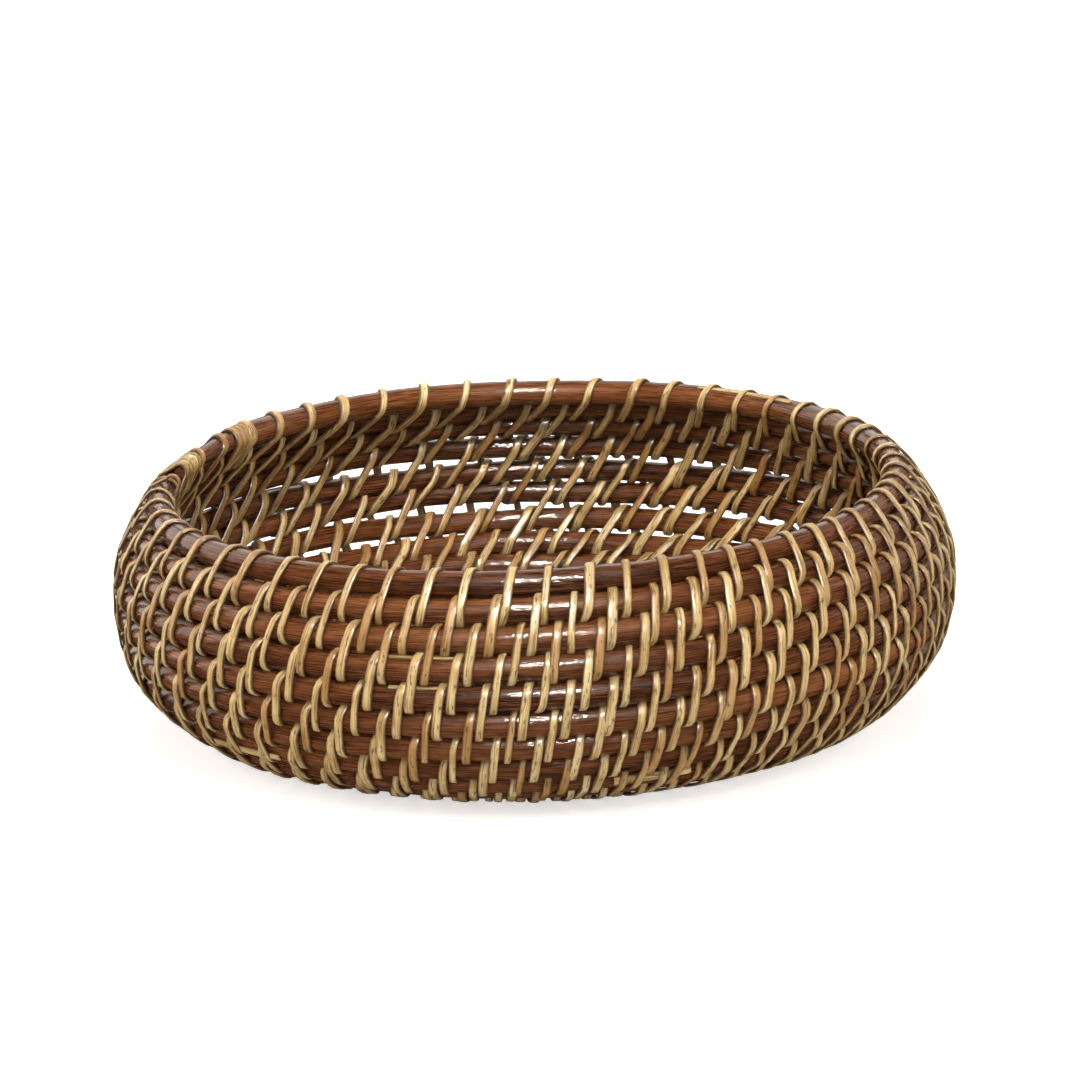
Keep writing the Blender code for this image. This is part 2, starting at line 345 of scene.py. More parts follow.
class SweepTree:
    """Geometry nodes that sweep a section along a guide and end in one plain, closed mesh."""

    def __init__(self) -> None:
        """Build the tree and its named inputs."""
        self.tree = bpy.data.node_groups.new("sweep_along_guide", "GeometryNodeTree")
        kinds = {"Guide": "Geometry"}
        for name in ("Half Width", "Half Height", "Flat", "Crown", "Lump Depth", "Lump Size"):
            kinds[name] = "Float"
        kinds |= {"Sides": "Int", "Seed": "Float", "Material": "Material"}
        for name, kind in kinds.items():
            self.tree.interface.new_socket(name, in_out="INPUT", socket_type=f"NodeSocket{kind}")
        self.tree.interface.new_socket("Swept", in_out="OUTPUT", socket_type="NodeSocketGeometry")
        self._wire(NodeGraph(self.tree))

    def _wire(self, graph: NodeGraph) -> None:
        """Lay the nodes: guide, section, sweep, unevenness, material.

        Args:
            graph: the empty tree.
        """
        given = graph.add("NodeGroupInput").outputs
        named = "GeometryNodeInputNamedAttribute"
        size = graph.add(named, {"Name": "size"}, data_type="FLOAT").outputs["Attribute"]
        facing = graph.add(named, {"Name": "facing"}, data_type="FLOAT_VECTOR").outputs["Attribute"]
        line = graph.add("GeometryNodeMeshToCurve", {"Mesh": given["Guide"]})
        line = graph.add("GeometryNodeSetCurveNormal", {"Curve": line, "Normal": facing}, mode="FREE")
        length = graph.add("GeometryNodeSplineParameter").outputs["Length"]
        along = graph.add("ShaderNodeMath", {0: length, 1: given["Seed"]}, operation="ADD")
        store = "GeometryNodeStoreNamedAttribute"
        wires = {"Geometry": line, "Name": "along", "Value": along}
        line = graph.add(store, wires, data_type="FLOAT", domain="POINT")

        wires = {"Resolution": given["Sides"], "Radius": 1.0}
        ring = graph.add("GeometryNodeCurvePrimitiveCircle", wires)
        place = graph.add("ShaderNodeSeparateXYZ", {0: graph.add("GeometryNodeInputPosition")}).outputs
        wires = {"Value": place["X"], "Min": given["Flat"], "Max": given["Crown"]}
        cut = graph.add("ShaderNodeClamp", wires)
        unit = graph.add("ShaderNodeCombineXYZ", {"X": cut, "Y": place["Y"]})
        half = graph.add("ShaderNodeCombineXYZ", {"X": given["Half Height"], "Y": given["Half Width"]})
        scaled = graph.add("ShaderNodeVectorMath", {0: unit, 1: half}, operation="MULTIPLY")
        ring = graph.add("GeometryNodeSetPosition", {"Geometry": ring, "Position": scaled})
        position = graph.add("GeometryNodeInputPosition")
        wires = {"Geometry": ring, "Name": "section", "Value": position}
        ring = graph.add(store, wires, data_type="FLOAT_VECTOR", domain="POINT")

        wires = {"Curve": line, "Profile Curve": ring, "Scale": size, "Fill Caps": True}
        swept = graph.add("GeometryNodeCurveToMesh", wires)
        scale = graph.add("ShaderNodeMath", {0: 1.0, 1: given["Lump Size"]}, operation="DIVIDE")
        wires = {"Vector": position, "W": given["Seed"], "Scale": scale, "Detail": 2.0}
        noise = graph.add("ShaderNodeTexNoise", wires, noise_dimensions="4D")
        centred = graph.add("ShaderNodeMath", {0: noise, 1: 0.5}, operation="SUBTRACT")
        depth = graph.add("ShaderNodeMath", {0: centred, 1: given["Lump Depth"]}, operation="MULTIPLY")
        wires = {0: graph.add("GeometryNodeInputNormal"), "Scale": depth}
        offset = graph.add("ShaderNodeVectorMath", wires, operation="SCALE")
        lumpy = graph.add("GeometryNodeSetPosition", {"Geometry": swept, "Offset": offset})
        smooth = graph.add("GeometryNodeSetShadeSmooth", {"Geometry": lumpy})
        whole = graph.add("GeometryNodeRealizeInstances", {"Geometry": smooth})
        wires = {"Geometry": whole, "Material": given["Material"]}
        graph.add("NodeGroupOutput", {0: graph.add("GeometryNodeSetMaterial", wires)})

    def sweep(
        self, name: str, guide: Guide, section: Section, material: bpy.types.Material
    ) -> bpy.types.Object:
        """Sweep a section along a guide.

        Args:
            name: the piece's name.
            guide: the line.
            section: the cross-section.
            material: the piece's material.

        Returns:
            The piece, with a plain mesh and no modifier.
        """
        piece = guide.make_object(name)
        modifier = piece.modifiers.new("sweep", "NODES")
        modifier.node_group = self.tree
        values = {key.replace("_", " ").title(): value for key, value in vars(section).items()}
        # The flat lies below the section's middle
        values["Flat"] = -section.flat
        values |= {"Seed": float(len(guide.places) % NOISE_STARTS), "Material": material}
        for item in self.tree.interface.items_tree:
            if item.in_out == "INPUT" and item.name in values:
                modifier[item.identifier] = values[item.name]
        graph = bpy.context.evaluated_depsgraph_get()
        plain = bpy.data.meshes.new_from_object(piece.evaluated_get(graph))
        line = piece.data
        piece.modifiers.clear()
        piece.data = plain
        bpy.data.meshes.remove(line)
        plain.name = name
        return piece


@dataclass(frozen=True)
class PieceMaker:
    """Makes the pieces of one finish and parents them to the root, in place of the part's own."""

    sweeps: SweepTree  # The tree that makes their meshes
    slot: Slot  # The part's finish that they take; not used
    material: bpy.types.Material  # How that finish looks

    def make(self, name: str, guide: Guide, section: Section, node: str = "") -> None:
        """Make one piece and report it.

        Args:
            name: the piece's name.
            guide: the line that it follows.
            section: its cross-section.
            node: the part's own piece that it stands in for. An extra piece has none.
        """
        piece = self.sweeps.sweep(name, guide, section, self.material)
        if node:
            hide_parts(node)
        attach(piece, ROOT)
        LOG.info("%s has %d faces", name, len(piece.data.polygons))


class CaneShader:
    """A material of cane, with patterns that run along the piece from the values its mesh holds."""

    def __init__(self, name: str) -> None:
        """Start a material with its coordinates.

        Args:
            name: the material's name.
        """
        self.material = bpy.data.materials.new(name)
        self.material.use_nodes = True
        self.graph = NodeGraph(self.material.node_tree)
        self.shader = self.material.node_tree.nodes["Principled BSDF"]
        self.along = self.graph.add("ShaderNodeAttribute", attribute_name="along").outputs["Fac"]
        section = self.graph.add("ShaderNodeAttribute", attribute_name="section").outputs["Vector"]
        parts = self.graph.add("ShaderNodeSeparateXYZ", {0: section})
        self.height, self.across = parts.outputs["X"], parts.outputs["Y"]
        self.tone = self.graph.add("ShaderNodeAttribute", attribute_name="tone").outputs["Fac"]

    def math(self, operation: str, first: object, second: object) -> Socket:
        """Join two numbers or sockets with one of the math node's operations."""
        return self.graph.add("ShaderNodeMath", {0: first, 1: second}, operation=operation).outputs[0]

    def streaks(self, size: Span, detail: float = 3.0) -> Socket:
        """Make noise that is drawn out along the piece.

        Args:
            size: length and width of a streak, in metres.
            detail: octaves of the noise.

        Returns:
            The noise's value, round 0.5.
        """
        length, width = size
        wires = {"X": self.math("DIVIDE", self.along, length)}
        wires["Y"] = self.math("DIVIDE", self.across, width)
        wires["Z"] = self.math("DIVIDE", self.height, width)
        place = self.graph.add("ShaderNodeCombineXYZ", wires)
        wires = {"Vector": place, "Scale": 1.0, "Detail": detail, "Roughness": 0.55}
        return self.graph.add("ShaderNodeTexNoise", wires).outputs["Fac"]

    def ramp(self, value: Socket, stops: Ramp) -> Socket:
        """Turn a value into a colour.

        Args:
            value: the value's socket.
            stops: places and their sRGB hex colours, the lowest place first.

        Returns:
            The colour's socket.
        """
        node = self.graph.add("ShaderNodeValToRGB", {"Fac": value})
        points = node.color_ramp.elements
        while len(points) < len(stops):
            points.new(0.5)
        for point, (place, colour) in zip(points, stops):
            point.position = place
            point.color = linear(colour)
        return node.outputs["Color"]

    def mapped(self, value: Socket, old: Span, new: Span) -> Socket:
        """Map a value from the old span to the new one and keep it inside."""
        wires = dict(zip(("Value", "From Min", "From Max", "To Min", "To Max"), (value, *old, *new)))
        return self.graph.add("ShaderNodeMapRange", wires, interpolation_type="SMOOTHSTEP").outputs[0]

    def cover(self, share: Socket, under: Socket, colour: str) -> Socket:
        """Lay a share of an sRGB hex colour over the colour that is there."""
        wires = {0: share, 6: under, 7: linear(colour)}
        return self.graph.add("ShaderNodeMix", wires, data_type="RGBA", blend_type="MIX").outputs[2]

    def bump(self, name: str, height: Socket, depth: float) -> None:
        """Give the shader's normal of that name a relief, with its depth in metres."""
        relief = self.graph.add("ShaderNodeBump", {"Height": height, "Strength": 1.0, "Distance": depth})
        self.graph.tree.links.new(relief.outputs[0], self.shader.inputs[name])


@dataclass(frozen=True)
class Mark:
    """Marks drawn out along a cane, such as pores or scratches."""

    colour: str  # Their colour
    size: Span  # Length and width of one, in metres
    span: Span  # The noise's values between which a mark comes in
    amount: float  # How strongly it covers what is under it


@dataclass(frozen=True)
class CaneFinish:
    """What the looks of stained and of split cane share."""

    ramp: Ramp  # The fibres' colours by shade, the darkest first
    fibre: Span  # Length and width of a fibre, in metres
    patch: Span  # Length and width of a patch
    fibre_share: float  # How much of the shade comes from the fibres and not from the patches
    marks: tuple[Mark, ...]  # The marks on it, the lowest first
    roughness: Span  # Least and greatest roughness
    coat: Span  # Weight and roughness of the gloss
    depth: float  # Depth of the fibres

    def fibres(self, cane: CaneShader) -> tuple[Socket, Socket]:
        """Lay the fibres and the patches.

        Args:
            cane: the material.

        Returns:
            The fibres' value, and the shade that the fibres and patches make together.
        """
        fibre = cane.streaks(self.fibre, detail=4.0)
        fine = cane.math("MULTIPLY", fibre, self.fibre_share)
        broad = cane.math("MULTIPLY", cane.streaks(self.patch), 1 - self.fibre_share)
        return fibre, cane.math("ADD", fine, broad)

    def finish(self, cane: CaneShader, colour: Socket, fibre: Socket) -> None:
        """Lay the marks over the colour and feed the shader.

        Args:
            cane: the material.
            colour: the colour under the marks.
            fibre: the fibres' value.
        """
        for mark in self.marks:
            share = cane.mapped(cane.streaks(mark.size), mark.span, (0.0, mark.amount))
            colour = cane.cover(share, colour, mark.colour)
        links = cane.graph.tree.links
        links.new(colour, cane.shader.inputs["Base Color"])
        links.new(cane.mapped(fibre, NOISE_SPAN, self.roughness), cane.shader.inputs["Roughness"])
        weight, roughness = self.coat
        cane.shader.inputs["Coat Weight"].default_value = weight
        cane.shader.inputs["Coat Roughness"].default_value = roughness
        cane.bump("Normal", fibre, self.depth)


@dataclass(frozen=True)
class StainedCane(CaneFinish):
    """Finish of the coil: round rattan core, stained dark brown and lacquered."""

    ramp: Ramp = ((0.32, "#1e0c05"), (0.45, "#4a2610"), (0.62, "#7a4a29"))
    fibre: Span = (0.011, 0.00038)
    patch: Span = (0.110, 0.0060)
    fibre_share: float = 0.55
    # Scratches where the stain is gone, and pores, drawn coarser than real ones so that they show
    marks: tuple[Mark, ...] = (
        Mark("#946038", (0.0240, 0.0006), (0.60, 0.68), 0.45),
        Mark("#1e0c05", (0.0045, 0.0003), (0.56, 0.66), 0.45),
    )
    roughness: Span = (0.16, 0.42)
    coat: Span = (0.8, 0.07)
    depth: float = 0.00018
    darkening: float = 0.04  # How much a dark stretch of cane lowers the shade
    specular: float = 0.15  # Gloss of the wood under the lacquer
    ripple: Span = (0.0042, 0.0010)  # Length and width of the lacquer's ripples
    ripple_depth: float = 0.0002  # Depth of the ripples

    def material(self) -> bpy.types.Material:
        """Build the material.

        Returns:
            The material of stained rattan core.
        """
        # Stained rattan core: stain sinks unevenly into long fibres, so the eye sees dark streaks and
        # rubbed patches, under thick lacquer whose highlights break up on its ripples
        cane = CaneShader("stained_rattan_core")
        fibre, shade = self.fibres(cane)
        shade = cane.math("SUBTRACT", shade, cane.math("MULTIPLY", cane.tone, self.darkening))
        self.finish(cane, cane.ramp(shade, self.ramp), fibre)
        cane.shader.inputs["Specular IOR Level"].default_value = self.specular
        cane.bump("Coat Normal", cane.streaks(self.ripple, detail=1.5), self.ripple_depth)
        return cane.material


@dataclass(frozen=True)
class SplitCane(CaneFinish):
    """Finish of the binding: split rattan skin, straw-coloured and glossy, with dark edges that are
    partly split edges and partly painted shade.
    """

    ramp: Ramp = ((0.36, "#7d5a2e"), (0.47, "#ab8d56"), (0.60, "#ccb887"))
    fibre: Span = (0.022, 0.00035)
    patch: Span = (0.012, 0.0022)
    fibre_share: float = 0.55
    # Flecks and splits, drawn coarser than real ones so that they show
    marks: tuple[Mark, ...] = (
        Mark("#3d220e", (0.0034, 0.0009), (0.58, 0.66), 0.80),
        Mark("#3d220e", (0.0300, 0.0005), (0.58, 0.66), 0.65),
    )
    roughness: Span = (0.30, 0.50)
    coat: Span = (0.5, 0.16)
    depth: float = 0.00012
    amber: str = "#8f6026"  # Colour of an old or weathered stitch
    ageing: Span = (0.35, 1.0)  # The tones between which a stitch turns amber
    aged: float = 0.75  # How much amber an old stitch gets
    edge: str = "#3d220e"  # Colour of the dark edges: the split edges, and painted shade where the strip meets the cane
    half_width: float = STRIP_HALF_WIDTH  # Half the strip's width, where its edges are
    beside: Span = (0.55, 0.98)  # Where the dark edges' colour (split edges and painted shade) comes in, as shares of the half width
    edge_amount: float = 0.90  # How strongly the dark edges' colour (split edges and painted shade) covers
    skin_depth: float = 0.000024  # Depth of the skin's own gloss

    def material(self) -> bpy.types.Material:
        """Build the material.

        Returns:
            The material of split rattan skin.
        """
        # Split rattan skin: hard and glossy, so the eye sees pale fibres and small dark flecks, with
        # brown edges that are partly where the knife went and partly painted shade where the strip meets
        # the cane, and some strips aged to amber
        strip = CaneShader("split_rattan_skin")
        fibre, shade = self.fibres(strip)
        colour = strip.ramp(shade, self.ramp)
        aged = strip.mapped(strip.tone, self.ageing, (0.0, self.aged))
        colour = strip.cover(aged, colour, self.amber)
        # Darker towards both edges of the strip: partly the real split edges, partly painted shade where
        # the strip sinks against the cane
        beside = strip.math("DIVIDE", strip.math("ABSOLUTE", strip.across, 0.0), self.half_width)
        cut = strip.mapped(beside, self.beside, (0.0, self.edge_amount))
        self.finish(strip, strip.cover(cut, colour, self.edge), fibre)
        strip.bump("Coat Normal", fibre, self.skin_depth)
        return strip.material


@dataclass
class CaneCoil:
    """The coil's lengths of stained cane, scarfed end to end."""

    coil: Coil
    maker: PieceMaker
    wall_canes: int = 5  # Lengths in the wall
    base_canes: int = 3  # Lengths in the base
    scarf: float = 0.016  # Length of a joint between two canes
    thinned: float = 0.9  # Share of its thickness that a cane loses at the end of a scarf
    steps: int = 150  # Places along one turn
    drift: float = 1.7  # How fast the cane's shade drifts, in radians a turn
    flutter: Span = (0.6, 9.1)  # How far and how fast a quicker change rides on that drift, in radians

    def build(self) -> None:
        """Make every cane and put it in the place of the part's own."""
        rod = self.coil.rod
        round_cane = Section(rod, rod, flat=1.0, crown=1.0, sides=18, lump_depth=0.0005, lump_size=0.016)
        wall, turns = self.coil.wall_turns, self.coil.turns
        for where, count, top, foot in (
            ("wall", self.wall_canes, 0.0, wall),
            ("base", self.base_canes, wall, turns),
        ):
            for place in range(count):
                upper, lower = (top + (foot - top) * end / count for end in (place, place + 1))
                node = f"{where}_cane_{place + 1}"
                self.maker.make(f"stained_{node}", self._guide(upper, lower), round_cane, node)

    def _guide(self, upper: float, lower: float) -> Guide:
        """Lay one cane along the coil.

        Args:
            upper: the turn where the cane starts.
            lower: the turn where it ends.

        Returns:
            The cane's line, shaved to a scarf at each end that meets another cane.
        """
        guide = Guide()
        overlap = self.scarf / 2 / (math.tau * self.coil.meridian(lower)[0])
        first = upper - overlap if upper > 0 else 0.0
        last = lower + overlap if lower < self.coil.turns else self.coil.turns
        count = math.ceil((last - first) * self.steps)
        aside = self.coil.rod * self.thinned
        far, quick = self.flutter
        for step in range(count + 1):
            turn = first + (last - first) * step / count
            centre, _, normal = self.coil.place(turn)
            # A cubic lap keeps the joint full until the canes' very ends
            lap = 0.0
            if upper > 0 and turn < upper + overlap:
                lap = ((upper + overlap - turn) / (2 * overlap)) ** 3
                centre -= normal * (aside * lap)
            if lower < self.coil.turns and turn > lower - overlap:
                lap = ((turn - lower + overlap) / (2 * overlap)) ** 3
                centre += normal * (aside * lap)
            tone = 0.5 + 0.5 * math.sin(self.drift * turn + far * math.sin(quick * turn))
            guide.add(centre, normal, self.coil.size(turn) * (1 - self.thinned * lap), tone)
        return guide


@dataclass(frozen=True)
class Stitch:
    """How one hand-pulled stitch differs from its neighbours."""

    tone: float  # Its shade
    shift: float  # How far it sits from its place, as a share of the stitch spacing
    size: float  # Its width, as a share of the strip's
    slack: float  # How far it stands off the canes between them


@dataclass
class Hand:
    """The hand that pulls the stitches, each a little unlike the last."""

    chance: random.Random
    paleness: float = 1.6  # How much more often a stitch is pale than dark
    # Least and greatest shift, size and slack
    ranges: tuple[Span, Span, Span] = ((-0.08, 0.08), (0.74, 1.12), (-0.0001, 0.0004))

    def pull(self) -> Stitch:
        """Pull one stitch."""
        tone = self.chance.random() ** self.paleness
        return Stitch(tone, *(self.chance.uniform(*ends) for ends in self.ranges))


@dataclass
class Winding:
    """Lays a strip in loops round two neighbouring turns of the coil."""

    coil: Coil
    section: Section
    hand: Hand
    lean: float = 0.5  # How unevenly a loop moves on, slower outside than inside
    counts: tuple[int, ...] = (5, 7, 6, 7)  # Places on each side of a loop
    clearance: float = 0.00015  # Gap between the strip and the cane
    handover: float = 0.8  # Share of a loop after which it runs into the next one
    sight: float = 0.002  # How far ahead and behind the coil's direction is taken, in turns

    @property
    def least_height(self) -> float:
        """Least height of a strip's middle, where the basket's weight presses it on the floor."""
        return self.section.half_height * self.section.crown + self.section.lump_depth / 2

    def course(self, first: int, last: int) -> Guide:
        """Wind one strip, from its lowest stitch up to its highest.

        Args:
            first: number of the highest stitch, counted down from the rim's end.
            last: number of the lowest stitch.

        Returns:
            The strip's line.
        """
        guide = Guide()
        pulled = [self.hand.pull() for _ in range(last - first + 2)]
        for place, stitch in enumerate(range(last, first - 1, -1)):
            turn = self.coil.stitch_turn(stitch + 0.5)
            advance = turn - self.coil.stitch_turn(stitch - 0.5)
            self.loop(guide, turn, advance, pulled[place], pulled[place + 1])
        return guide

    def loop(self, guide: Guide, turn: float, advance: float, stitch: Stitch, after: Stitch) -> None:
        """Add one loop to a strip's line.

        Args:
            guide: the strip's line.
            turn: the coil's turn where the loop starts, at the foot of its outside.
            advance: how many turns the loop moves on.
            stitch: this loop's own differences.
            after: the next loop's differences, which this one runs into.
        """
        middle = math.pi * self.counts[0] / sum(self.counts)
        done = 0
        for side in Side:
            for step in range(self.counts[side.value]):
                gone = done / sum(self.counts)
                late = smooth_step(self.handover, 1.0, gone)
                shift = stitch.shift + (after.shift - stitch.shift) * late
                uneven = math.sin(math.tau * gone - middle) + math.sin(middle)
                moved = gone - self.lean * uneven / math.tau + shift
                part = step / self.counts[side.value]
                place, facing = self._at(side, part, turn - advance * moved, stitch.slack)
                place.z = max(place.z, self.least_height)
                size = stitch.size + (after.size - stitch.size) * late
                guide.add(place, facing, size, stitch.tone + (after.tone - stitch.tone) * late)
                done += 1

    def _at(self, side: Side, part: float, turn: float, slack: float) -> tuple[Vector, Vector]:
        """Find one place on a loop.

        Args:
            side: the side of the loop.
            part: how far along that side.
            turn: the coil's turn there.
            slack: how far a straight side stands off at its middle.

        Returns:
            The middle of the strip and the direction it faces.
        """
        upper, lower = self.coil.place(turn)[0], self.coil.place(turn + 1)[0]
        along = self.coil.place(turn - self.sight)[0] - self.coil.place(turn + self.sight)[0]
        along.normalize()
        chord = upper - lower
        chord -= along * chord.dot(along)
        apart = chord.length
        chord.normalize()
        normal = along.cross(chord)
        stand = self.clearance + self.section.half_height * self.section.flat
        over = self.coil.rod * self.coil.size(turn) + stand
        under = self.coil.rod * self.coil.size(turn + 1) + stand
        if side is Side.TOP or side is Side.UNDER:
            bent = math.pi * (part if side is Side.TOP else 1 + part)
            facing = normal * math.cos(bent) + chord * math.sin(bent)
            held, reach = (upper, over) if side is Side.TOP else (lower, under)
            return held + facing * reach, facing
        climb = part if side is Side.OUTSIDE else 1 - part
        facing = normal if side is Side.OUTSIDE else -normal
        reach = under + (over - under) * climb + slack * math.sin(math.pi * part)
        return lower + chord * (apart * climb) + facing * reach, facing


@dataclass
class CourseBinding:
    """Strips that hold each turn of the coil to the turn below, one to a course."""

    winding: Winding
    maker: PieceMaker
    courses: range  # The turns that they hold
    name: str
    node: str = ""  # What the name of the part's own strip starts with. Extra strips have none

    def build(self) -> None:
        """Make one strip for each course."""
        stitches = self.winding.coil.stitches
        for number, course in enumerate(self.courses, 1):
            first = math.floor(course * stitches)
            last = math.floor((course + 1) * stitches) - 1
            node = f"{self.node}_{number}" if self.node else ""
            guide = self.winding.course(first, last)
            self.maker.make(f"{self.name}_{number}", guide, self.winding.section, node)


@dataclass
class BaseSpokes:
    """Strips woven over and under the base's turns, each out to the foot and back."""

    coil: Coil
    section: Section
    maker: PieceMaker
    count: int = 8  # How many there are
    past_stitch: float = 0.135  # How far a strip sits past the stitch beside it, in stitches
    spread: float = 0.0082  # Distance between a strip's way out and its way back
    parting: Span = (-0.6, 0.8)  # Turns crossed between which the two ways part
    short_radius: float = 0.034  # Where every other strip starts
    bare_turns: float = 1.4  # Turns at the centre that no strip crosses
    # How square the weave's wave is, 1 for a plain wave and less for a squarer one
    fullness: float = 0.8
    width: float = 0.9  # The strip's width, as a share of a stitch's
    tone: float = 0.45  # The strip's shade
    steps: int = 10  # Places on the strip for each turn that it crosses

    @property
    def reach(self) -> float:
        """Distance from a cane's middle to the middle of a strip that crosses it."""
        return self.coil.rod + self.coil.stand - self.section.half_height * self.section.crown

    def build(self) -> None:
        """Make every spoke and put it in the place of the part's own."""
        first = math.floor(self.coil.wall_turns * self.coil.stitches)
        for spoke in range(self.count):
            stitch = first + round(spoke * self.coil.stitches / self.count)
            turn = self.coil.stitch_turn(stitch + self.past_stitch)
            inner = self.coil.turns - self.bare_turns
            if spoke % 2 == 1:
                inner = self.coil.turns - (self.short_radius - self.coil.centre_radius) / self.coil.pitch
            node = f"base_spoke_{spoke + 1}"
            guide = self._guide(turn, math.floor(inner - turn))
            self.maker.make(f"split_{node}", guide, self.section, node)

    def _guide(self, turn: float, crossed: int) -> Guide:
        """Weave one strip out, round the outermost turn and back.

        Args:
            turn: the outermost turn that it hooks round.
            crossed: how many turns it crosses.

        Returns:
            The strip's line.
        """
        guide = Guide()
        last = self.steps * crossed - self.steps // 2
        for step in range(last, 0, -1):
            self._weave(guide, turn, step / self.steps, 1)
        for step in range(self.steps + 1):
            self._hook(guide, turn, math.pi * step / self.steps)
        for step in range(1, last + 1):
            self._weave(guide, turn, step / self.steps, -1)
        return guide

    def _apart(self, crossed: float) -> float:
        """Find how far a way lies from the spoke's middle."""
        return self.spread / 2 * smooth_step(*self.parting, crossed)

    def _weave(self, guide: Guide, turn: float, crossed: float, way: int) -> None:
        """Add one place of a strip between or on the turns that it crosses.

        Args:
            guide: the strip's line.
            turn: the outermost turn.
            crossed: turns crossed on the way in from the outermost.
            way: 1 on the way out and -1 on the way back.
        """
        radius, height, _ = self.coil.meridian(turn + crossed)
        angle = self.coil.angle(turn) + way * self._apart(crossed) / radius
        outward = Vector((math.cos(angle), math.sin(angle), 0.0))
        wave = math.cos(math.pi * crossed)
        level = way * self.reach * math.copysign(abs(wave) ** self.fullness, wave)
        climb = way * math.sin(math.pi * crossed) * self.reach * math.pi / self.coil.pitch
        facing = (RISE - outward * climb).normalized() * way
        guide.add(outward * radius + RISE * (height + level), facing, self.width, self.tone)

    def _hook(self, guide: Guide, turn: float, bent: float) -> None:
        """Add one place where a strip turns round the outermost cane.

        Args:
            guide: the strip's line.
            turn: the outermost turn.
            bent: how far it has turned, from over the cane to under it.
        """
        aside = self._apart(0.0) * math.cos(bent)
        radius = self.coil.meridian(turn)[0]
        centre, upward, normal = self.coil.place(turn - aside / (math.tau * radius))
        facing = upward * math.sin(bent) - normal * math.cos(bent)
        guide.add(centre + facing * self.reach, facing, self.width, self.tone)


@dataclass
class RimLashing:
    """Close wraps that tie the coil's shaved end down at the rim."""

    winding: Winding
    maker: PieceMaker
    # Angle round the basket and number of wraps of each lashing
    places: tuple[tuple[float, int], ...] = ((148.0, 4), (166.0, 4))
    spacing: float = 0.0031  # Distance between wraps

    def build(self) -> None:
        """Make every lashing as an extra piece of the basket."""
        coil = self.winding.coil
        advance = self.spacing / (math.tau * coil.meridian(0.0)[0])
        for number, (angle, wraps) in enumerate(self.places, 1):
            guide = Guide()
            start = (coil.rim_end - math.radians(angle)) / math.tau + advance * wraps / 2
            pulled = [self.winding.hand.pull() for _ in range(wraps + 1)]
            for wrap in range(wraps):
                self.winding.loop(guide, start - advance * wrap, advance, pulled[wrap], pulled[wrap + 1])
            self.maker.make(f"rim_lashing_{number}", guide, self.winding.section)


@dataclass(frozen=True)
class Tail:
    """A loose end of binding strip that lies along a cane."""

    turn: float  # The coil's turn where it comes out
    length: float  # How much of it shows
    rise: Span  # How far up the wall it starts, and how far it ends, as shares of the pitch
    lift: float  # How far its end stands off the cane
    width: float = 1.0  # Its width, as a share of the strip's


@dataclass
class LooseEnds:
    """The ends of strips that were left showing where a new strip was begun."""

    coil: Coil
    section: Section
    maker: PieceMaker
    # The ends, each with its place
    tails: tuple[Tail, ...] = (
        Tail(8.693, 0.026, (0.30, 0.36), 0.0002),
        Tail(7.872, 0.034, (0.06, 0.14), 0.0003),
        Tail(0.360, 0.043, (0.46, 0.46), 0.0, 0.6),
        Tail(3.783, 0.028, (0.41, 0.42), 0.0, 0.55),
        Tail(4.777, 0.018, (0.41, 0.42), 0.0, 0.50),
        Tail(4.120, 0.024, (0.41, 0.42), 0.0, 0.55),
        Tail(6.400, 0.028, (0.41, 0.42), 0.0, 0.55),
    )
    half_height: float = 0.0005  # Half the thickness of an end, which is pared thin
    clearance: float = 0.0002  # Gap between the end's middle and the cane
    taper: Span = (1.15, 0.85)  # Width at its start and its tip, as shares of its own
    tone: float = 0.1  # Its shade
    steps: int = 14  # Places along one end

    def build(self) -> None:
        """Make every loose end as an extra piece of the basket."""
        thin = replace(self.section, half_height=self.half_height)
        for number, tail in enumerate(self.tails, 1):
            self.maker.make(f"loose_end_{number}", self._guide(tail), thin)

    def _guide(self, tail: Tail) -> Guide:
        """Lay one end along its cane.

        Args:
            tail: the end and its place.

        Returns:
            The end's line.
        """
        guide = Guide()
        radius = self.coil.meridian(tail.turn)[0]
        for step in range(self.steps + 1):
            part = step / self.steps
            turn = tail.turn - part * tail.length / (math.tau * radius)
            centre, upward, normal = self.coil.place(turn)
            bent = math.asin(2 * (tail.rise[0] + (tail.rise[1] - tail.rise[0]) * part))
            facing = normal * math.cos(bent) + upward * math.sin(bent)
            reach = self.coil.rod * self.coil.size(turn) + self.clearance + tail.lift * part * part
            width = tail.width * (self.taper[0] + (self.taper[1] - self.taper[0]) * part)
            guide.add(centre + facing * reach, facing, width, self.tone)
        return guide


@dataclass(frozen=True)
class Lamp:
    """A square soft light."""

    name: str
    place: tuple[float, float, float]  # Where it hangs
    size: float  # Width of its face
    power: float  # Its power in watts
    aim: tuple[float, float, float] = (0.0, 0.0, 0.05)  # The point that it looks at
    glossy: bool = False  # Whether lacquer mirrors it
    diffuse: bool = True  # Whether it lights what isn't glossy
    spread: float = 180.0  # The angle of its beam, in degrees


